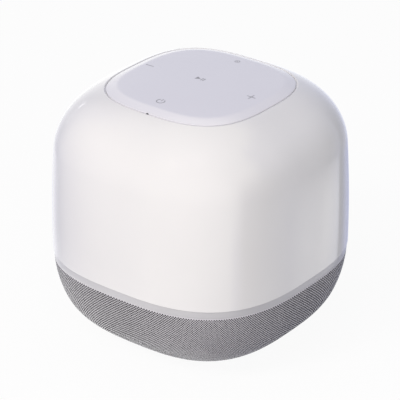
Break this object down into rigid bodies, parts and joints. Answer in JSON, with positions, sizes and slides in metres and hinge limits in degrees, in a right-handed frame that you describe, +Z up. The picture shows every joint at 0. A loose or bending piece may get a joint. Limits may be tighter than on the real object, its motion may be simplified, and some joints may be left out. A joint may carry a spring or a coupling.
{
  "type": "smart speaker",
  "caption": "Compact square smart speaker: white domed shell with a touch panel on top, grey band, and a perforated bowl-shaped base round a down-firing driver.",
  "frame": {"origin": "on the resting surface under the middle of the body", "axes": "+Z up, -Y towards the front with the power mark and the pinhole, +Y towards the power socket"},
  "size_m": [0.11, 0.11, 0.1076],
  "materials": {
    "white_gloss": "gloss warm white moulded plastic",
    "panel_gloss": "gloss cool white touch panel",
    "band_satin": "satin grey band",
    "grille_grey": "grey painted perforated sheet",
    "frame_black": "matt black moulded plastic",
    "chassis_grey": "matt dark grey moulded plastic",
    "rubber_black": "matt rubber",
    "steel": "zinc plated steel",
    "ferrite": "sintered ferrite",
    "paper_black": "pressed paper cone",
    "spider_cloth": "resin treated cloth",
    "copper": "enamelled copper winding",
    "board_green": "solder-masked glass board",
    "chip_black": "moulded chip packages",
    "battery_foil": "foil pouch",
    "flex_white": "flat flexible cable"
  },
  "bodies": {
    "housing": {"antenna": "flex_white", "baffle": "chassis_grey", "base_frame": "frame_black", "base_screws": "steel", "battery_lead": "rubber_black", "battery_pack": "battery_foil", "battery_pad": "rubber_black", "board_parts": "chip_black", "board_screws": "steel", "chamber_gasket": "rubber_black", "chamber_screws": "steel", "driver_basket": "steel", "driver_gasket": "rubber_black", "driver_screws": "steel", "foot_pad": "rubber_black", "front_plate": "steel", "grille": "grille_grey", "lead_grommet": "rubber_black", "magnet": "ferrite", "main_board": "board_green", "main_shell": "white_gloss", "mic_boot": "rubber_black", "mic_flex": "flex_white", "microphone": "steel", "power_board": "board_green", "power_ribbon": "flex_white", "power_screws": "steel", "rear_chamber": "chassis_grey", "shell_screws": "steel", "shield_can": "steel", "sound_diffuser": "frame_black", "speaker_leads": "rubber_black", "spider": "spider_cloth", "surround": "rubber_black", "terminal_strip": "board_green", "touch_board": "board_green", "touch_panel": "panel_gloss", "touch_parts": "chip_black", "touch_ribbon": "flex_white", "trim_ring": "band_satin", "usb_socket": "steel", "yoke": "steel"},
    "cone_assembly": {"cone": "paper_black", "dust_cap": "paper_black", "voice_coil": "copper"}
  },
  "joints": [
    {"name": "cone_travel", "type": "slide", "parent": "housing", "child": "cone_assembly", "axis": [0, 0, 1], "range_m": [-0.002, 0.002], "stiffness_N_per_m": 800, "deforming": ["surround", "spider"]}
  ]
}
